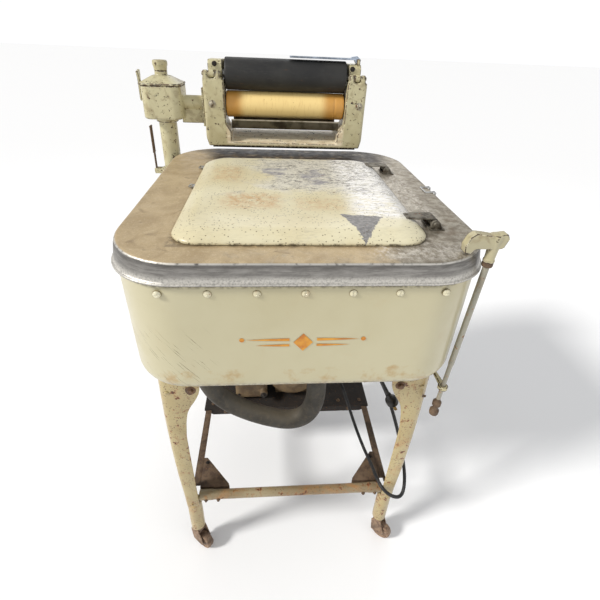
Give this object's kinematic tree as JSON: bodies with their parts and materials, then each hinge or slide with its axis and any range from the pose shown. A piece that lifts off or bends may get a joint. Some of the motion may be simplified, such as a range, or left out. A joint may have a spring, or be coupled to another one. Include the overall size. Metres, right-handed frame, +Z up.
{
  "type": "wringer washing machine",
  "caption": "Square-tub wringer washing machine on caster legs, with a lidded deck, a swinging roller wringer on a post, an agitator, a motor drive and a drain hose.",
  "frame": {"origin": "on the floor, under the middle of the machine's footprint", "axes": "+Z up, front of the machine towards -Y, wringer post at the rear left"},
  "size_m": [0.6494, 0.653, 1.095],
  "materials": {
    "ivory_enamel": "gloss enamel, chipped and rust-spotted",
    "cast_aluminium": "weathered cast aluminium",
    "ivory_casting": "enamel over castings",
    "black_rubber": "matt black roll rubber",
    "amber_rubber": "aged amber roll rubber",
    "bright_steel": "worn plated steel",
    "rusty_steel": "rust-brown steel",
    "grey_hose": "grey drain hose",
    "black_cord": "rubber-covered cord",
    "grimed_casting": "oil-stained casting",
    "plug_black": "moulded plug with brass prongs",
    "belt_rubber": "fabric and rubber belt",
    "agitator_metal": "cast aluminium",
    "wheel_wood": "worn caster wheel"
  },
  "bodies": {
    "washer": {"tub_rim": "cast_aluminium", "tub_casing": "ivory_enamel", "tub": "cast_aluminium", "screws_and_leg_bolts": "ivory_enamel", "lid_hinge_brackets": "bright_steel", "leg_front_left": "ivory_enamel", "leg_front_right": "ivory_enamel", "leg_rear_left": "ivory_enamel", "leg_rear_right": "ivory_enamel", "leg_extensions": "ivory_enamel", "tie_bars": "ivory_enamel", "rails_and_gussets": "rusty_steel", "motor_platform": "rusty_steel", "motor_housing": "grimed_casting", "motor_end_bells": "grimed_casting", "drive_belt": "belt_rubber", "gearcase_housing": "grimed_casting", "rear_beam": "rusty_steel", "wringer_post": "ivory_casting", "guide_clamp_and_hooks": "ivory_casting", "drain_hose": "grey_hose", "power_cord": "black_cord", "plug": "plug_black"},
    "lid": {"lid": "ivory_enamel", "lid_hinge_straps": "bright_steel"},
    "motor_rotor": {"motor_rotor": "bright_steel", "motor_pulley": "bright_steel"},
    "worm_shaft": {"worm_shaft": "bright_steel", "gearcase_pulley": "bright_steel"},
    "worm_wheel": {"worm_wheel": "grimed_casting"},
    "sector": {"sector_gear": "grimed_casting"},
    "agitator": {"agitator": "agitator_metal", "agitator_shaft": "bright_steel"},
    "transfer_shaft": {"transfer_shaft": "bright_steel"},
    "cross_shaft": {"cross_shaft": "bright_steel"},
    "post_shaft": {"post_shaft": "bright_steel"},
    "wringer": {"wringer_head": "ivory_casting", "head_cover": "ivory_casting", "oil_cap": "ivory_casting", "wringer_frame": "ivory_casting", "roll_bearings": "bright_steel"},
    "wringer_top": {"top_frame": "ivory_casting"},
    "upper_roll": {"upper_roll": "black_rubber", "upper_roll_shaft": "bright_steel"},
    "lower_roll": {"lower_roll": "amber_rubber", "lower_roll_shaft": "bright_steel"},
    "drain_board": {"drain_board": "bright_steel"},
    "release_lever": {"release_lever": "bright_steel"},
    "wringer_control": {"wringer_control_lever": "ivory_casting"},
    "swing_lock": {"swing_lock_lever": "bright_steel"},
    "agitator_control": {"control_rod": "ivory_casting", "control_handle": "ivory_casting"},
    "caster_front_left": {"caster_fork_front_left": "rusty_steel"},
    "wheel_front_left": {"caster_wheel_front_left": "wheel_wood"},
    "caster_front_right": {"caster_fork_front_right": "rusty_steel"},
    "wheel_front_right": {"caster_wheel_front_right": "wheel_wood"},
    "caster_rear_left": {"caster_fork_rear_left": "rusty_steel"},
    "wheel_rear_left": {"caster_wheel_rear_left": "wheel_wood"},
    "caster_rear_right": {"caster_fork_rear_right": "rusty_steel"},
    "wheel_rear_right": {"caster_wheel_rear_right": "wheel_wood"}
  },
  "joints": [
    {"name": "lid_open", "type": "hinge", "parent": "washer", "child": "lid", "pos_m": [0.25162, -0.0385, 0.875], "axis": [0, 1, 0], "range_deg": [0, 104]},
    {"name": "motor_spin", "type": "hinge", "parent": "washer", "child": "motor_rotor", "pos_m": [0.04862, 0.0375, 0.296], "axis": [0, 1, 0], "continuous": true},
    {"name": "worm_spin", "type": "hinge", "parent": "washer", "child": "worm_shaft", "pos_m": [0.01062, 0.0975, 0.545], "axis": [0, 1, 0], "continuous": true},
    {"name": "worm_wheel_spin", "type": "hinge", "parent": "washer", "child": "worm_wheel", "pos_m": [0.06262, 0.0975, 0.545], "axis": [0, 0, 1], "continuous": true},
    {"name": "agitator_turn", "type": "hinge", "parent": "washer", "child": "agitator", "pos_m": [0.03462, -0.0215, 0.61], "axis": [0, 0, 1], "range_deg": [-108, 108]},
    {"name": "sector_rock", "type": "hinge", "parent": "washer", "child": "sector", "pos_m": [0.03462, 0.0595, 0.508], "axis": [0, 0, 1], "range_deg": [-27.5, 27.5]},
    {"name": "transfer_spin", "type": "hinge", "parent": "washer", "child": "transfer_shaft", "pos_m": [-0.07038, 0.1975, 0.555], "axis": [0, 1, 0], "continuous": true},
    {"name": "cross_spin", "type": "hinge", "parent": "washer", "child": "cross_shaft", "pos_m": [-0.16538, 0.2775, 0.555], "axis": [1, 0, 0], "continuous": true},
    {"name": "post_shaft_spin", "type": "hinge", "parent": "washer", "child": "post_shaft", "pos_m": [-0.26738, 0.2775, 0.7], "axis": [0, 0, 1], "continuous": true},
    {"name": "wringer_swing", "type": "hinge", "parent": "washer", "child": "wringer", "pos_m": [-0.26738, 0.2775, 0.937], "axis": [0, 0, 1], "range_deg": [-90, 180]},
    {"name": "wringer_top_open", "type": "hinge", "parent": "wringer", "child": "wringer_top", "pos_m": [0.03462, 0.2445, 1.049], "axis": [1, 0, 0], "range_deg": [0, 72]},
    {"name": "upper_roll_spin", "type": "hinge", "parent": "wringer_top", "child": "upper_roll", "pos_m": [0.03462, 0.2775, 1.048], "axis": [1, 0, 0], "continuous": true},
    {"name": "lower_roll_spin", "type": "hinge", "parent": "wringer", "child": "lower_roll", "pos_m": [0.03462, 0.2775, 0.982], "axis": [1, 0, 0], "continuous": true},
    {"name": "drain_board_tilt", "type": "hinge", "parent": "wringer", "child": "drain_board", "pos_m": [0.03462, 0.2775, 0.932], "axis": [1, 0, 0], "range_deg": [-7, 7]},
    {"name": "release_lever_lift", "type": "hinge", "parent": "wringer_top", "child": "release_lever", "pos_m": [0.19462, 0.2655, 1.0845], "axis": [0, 1, 0], "range_deg": [0, 60]},
    {"name": "wringer_control_turn", "type": "hinge", "parent": "wringer", "child": "wringer_control", "pos_m": [-0.32638, 0.2775, 0.99], "axis": [1, 0, 0], "range_deg": [-22, 22]},
    {"name": "swing_lock_pull", "type": "hinge", "parent": "washer", "child": "swing_lock", "pos_m": [-0.31138, 0.2775, 0.814], "axis": [0, 1, 0], "range_deg": [-24, 0]},
    {"name": "agitator_control_turn", "type": "hinge", "parent": "washer", "child": "agitator_control", "pos_m": [0.30762, -0.2905, 0.862], "axis": [0.0366, 0, 0.9993], "range_deg": [0, 40]},
    {"name": "caster_swivel_front_left", "type": "hinge", "parent": "washer", "child": "caster_front_left", "pos_m": [-0.19488, -0.242, 0.076], "axis": [0, 0, 1], "continuous": true},
    {"name": "wheel_roll_front_left", "type": "hinge", "parent": "caster_front_left", "child": "wheel_front_left", "pos_m": [-0.18208, -0.2516, 0.024], "axis": [0.6, 0.8, 0], "continuous": true},
    {"name": "caster_swivel_front_right", "type": "hinge", "parent": "washer", "child": "caster_front_right", "pos_m": [0.26412, -0.242, 0.076], "axis": [0, 0, 1], "continuous": true},
    {"name": "wheel_roll_front_right", "type": "hinge", "parent": "caster_front_right", "child": "wheel_front_right", "pos_m": [0.27692, -0.2516, 0.024], "axis": [0.6, 0.8, 0], "continuous": true},
    {"name": "caster_swivel_rear_left", "type": "hinge", "parent": "washer", "child": "caster_rear_left", "pos_m": [-0.19488, 0.237, 0.076], "axis": [0, 0, 1], "continuous": true},
    {"name": "wheel_roll_rear_left", "type": "hinge", "parent": "caster_rear_left", "child": "wheel_rear_left", "pos_m": [-0.18208, 0.2274, 0.024], "axis": [0.6, 0.8, 0], "continuous": true},
    {"name": "caster_swivel_rear_right", "type": "hinge", "parent": "washer", "child": "caster_rear_right", "pos_m": [0.26412, 0.237, 0.076], "axis": [0, 0, 1], "continuous": true},
    {"name": "wheel_roll_rear_right", "type": "hinge", "parent": "caster_rear_right", "child": "wheel_rear_right", "pos_m": [0.27692, 0.2274, 0.024], "axis": [0.6, 0.8, 0], "continuous": true}
  ],
  "couplings": [
    {"joint": "worm_spin", "follows": "motor_spin", "ratio": 0.56818},
    {"joint": "worm_wheel_spin", "follows": "motor_spin", "ratio": 0.022727},
    {"joint": "transfer_spin", "follows": "motor_spin", "ratio": 0.090909},
    {"joint": "cross_spin", "follows": "motor_spin", "ratio": -0.090909},
    {"joint": "post_shaft_spin", "follows": "motor_spin", "ratio": 0.090909},
    {"joint": "lower_roll_spin", "follows": "motor_spin", "ratio": -0.090909},
    {"joint": "upper_roll_spin", "follows": "motor_spin", "ratio": 0.077922},
    {"joint": "sector_rock", "follows": "agitator_turn", "ratio": -0.25}
  ]
}
